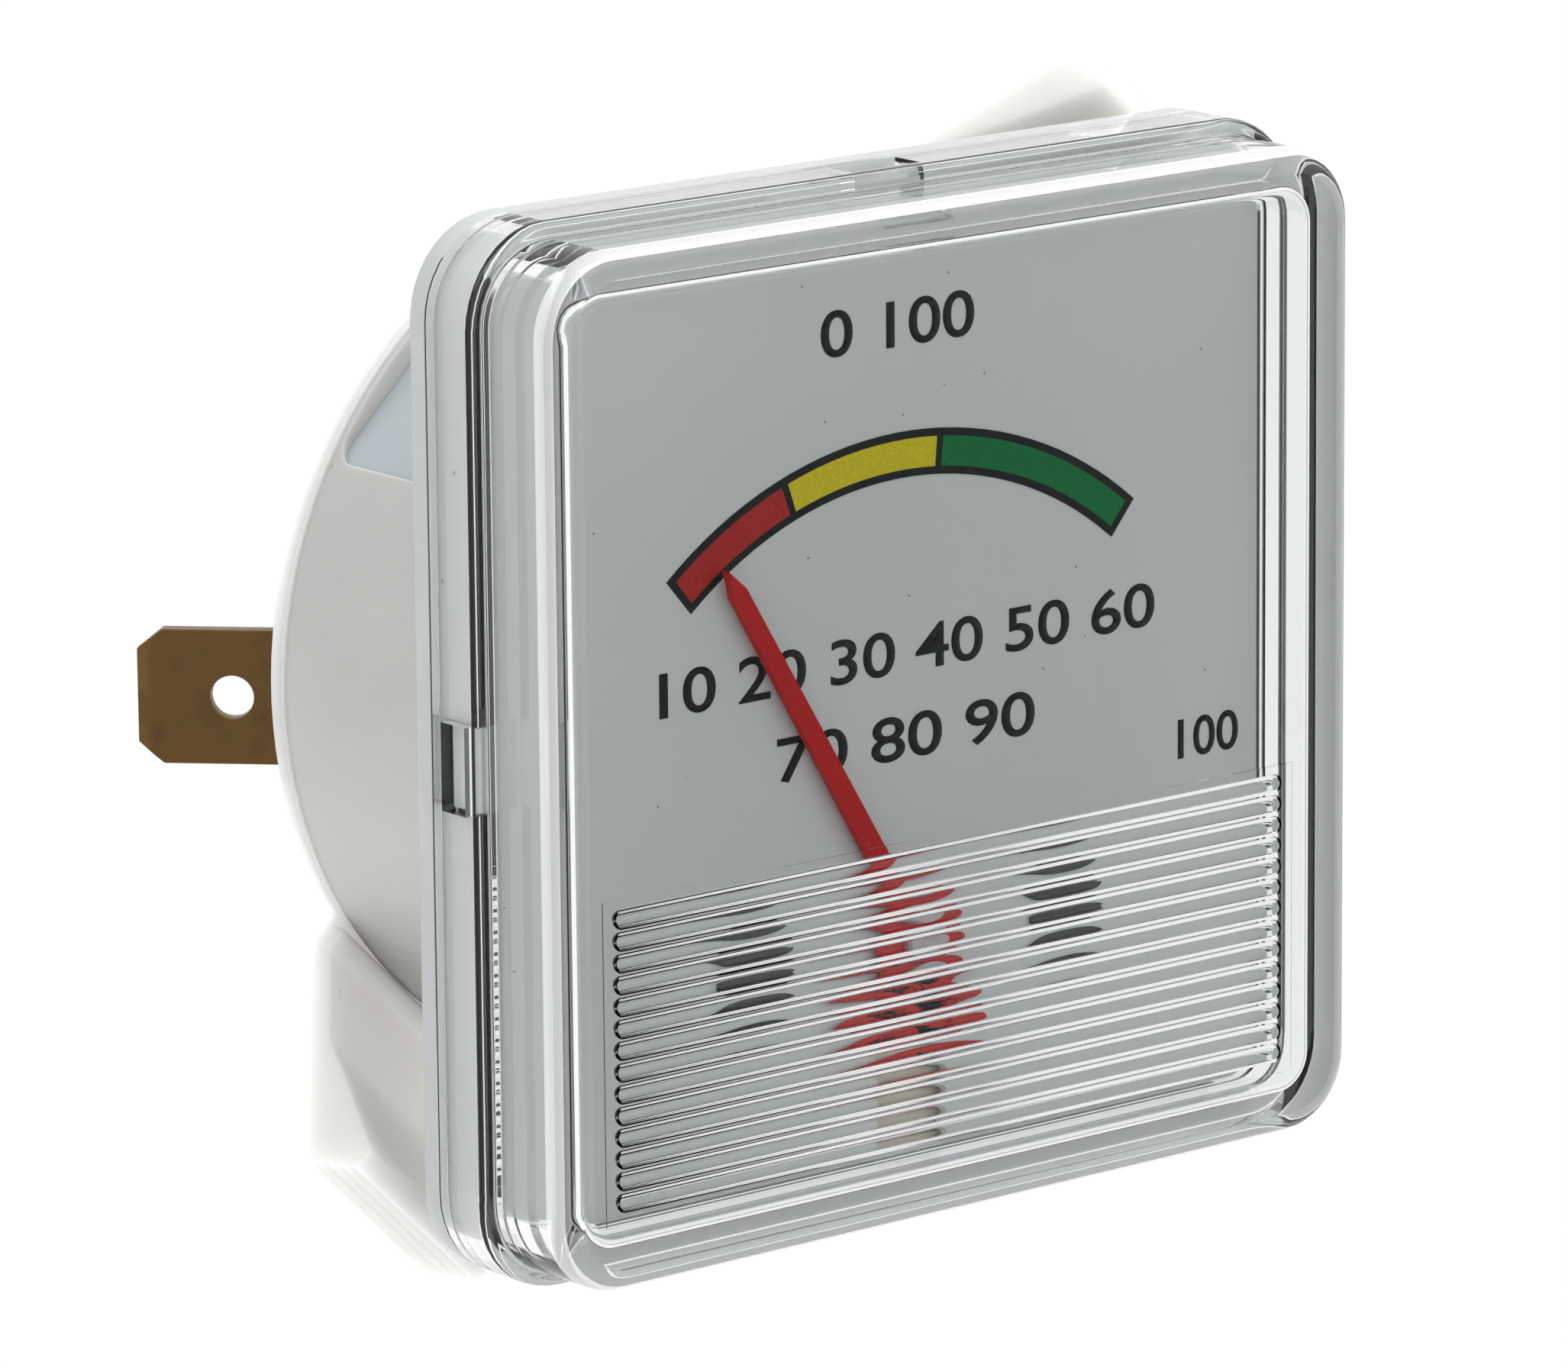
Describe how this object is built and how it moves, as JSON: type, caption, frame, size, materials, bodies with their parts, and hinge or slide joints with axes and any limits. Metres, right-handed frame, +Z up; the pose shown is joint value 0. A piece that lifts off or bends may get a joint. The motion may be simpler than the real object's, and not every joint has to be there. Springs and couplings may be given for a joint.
{
  "type": "battery tester",
  "caption": "Square panel-mounted battery condition meter with a clear stepped cover, red pointer, round rear housing, twist-on clamp and splayed blade terminals.",
  "frame": {"origin": "centre of the bezel's rear face, which seats on the panel, on the axis of the round housing", "axes": "+Y out of the seating face towards the housing's rear and the terminals, so the dial faces -Y; +Z up; +X to the right as the dial is read"},
  "size_m": [0.0522, 0.0319, 0.0522],
  "materials": {
    "clear_styrene": "clear, polished",
    "white_nylon": "translucent white, satin",
    "clamp_nylon": "translucent off-white, satin",
    "dial_paint": "satin light grey",
    "ink_black": "printed ink",
    "ink_red": "printed ink",
    "ink_yellow": "printed ink",
    "ink_green": "printed ink",
    "black_oxide": "black, satin",
    "pointer_red": "red lacquer",
    "steel": "turned",
    "aluminium": "plain sheet",
    "copper": "enamelled wire",
    "bronze": "bright strip",
    "brass": "plain",
    "magnet_alloy": "ground",
    "soft_iron": "plated",
    "cream_nylon": "satin",
    "board_laminate": "solder mask",
    "resistor_body": "lacquer",
    "diode_body": "glass body",
    "lead_black": "insulation",
    "lead_red": "insulation"
  },
  "bodies": {
    "case": {"front_cover": "clear_styrene", "rear_frame": "clear_styrene", "housing": "white_nylon", "dial_plate": "dial_paint", "scale_outline": "ink_black", "scale_red": "ink_red", "scale_yellow": "ink_yellow", "scale_green": "ink_green", "dial_screws": "black_oxide", "dial_posts": "brass", "front_hairspring": "bronze", "rear_hairspring": "bronze", "front_bridge": "aluminium", "front_bush": "brass", "rear_bridge": "aluminium", "rear_jewel_screw": "brass", "bridge_screws": "steel", "stop_pins": "steel", "core_magnet": "magnet_alloy", "core_bracket": "brass", "magnet_yoke": "soft_iron", "movement_frame": "cream_nylon", "frame_screws": "steel", "circuit_board": "board_laminate", "series_resistor": "resistor_body", "zener_diode": "diode_body", "lead_left": "lead_black", "lead_right": "lead_red", "terminal_left": "brass", "terminal_right": "brass", "terminal_rivets": "brass"},
    "movement": {"pointer": "pointer_red", "pointer_collet": "aluminium", "balance_weight": "pointer_red", "front_staff": "steel", "rear_staff": "steel", "coil_former": "aluminium", "moving_coil": "copper"},
    "zero_adjuster": {"zero_lever": "cream_nylon"},
    "clamp": {"mounting_clamp": "clamp_nylon"}
  },
  "joints": [
    {"name": "pointer_turn", "type": "hinge", "parent": "case", "child": "movement", "pos_m": [0, 0, -0.0108], "axis": [0, 1, 0], "range_deg": [-9.3, 70.7], "stiffness_Nm_per_rad": 0.000015, "deforming": ["front_hairspring", "rear_hairspring"]},
    {"name": "zero_adjust", "type": "hinge", "parent": "case", "child": "zero_adjuster", "pos_m": [0, 0, -0.0108], "axis": [0, 1, 0], "range_deg": [-8, 8]},
    {"name": "clamp_twist", "type": "hinge", "parent": "case", "child": "clamp", "pos_m": [0, 0, 0], "axis": [0, 1, 0], "range_deg": [0, 30]}
  ]
}
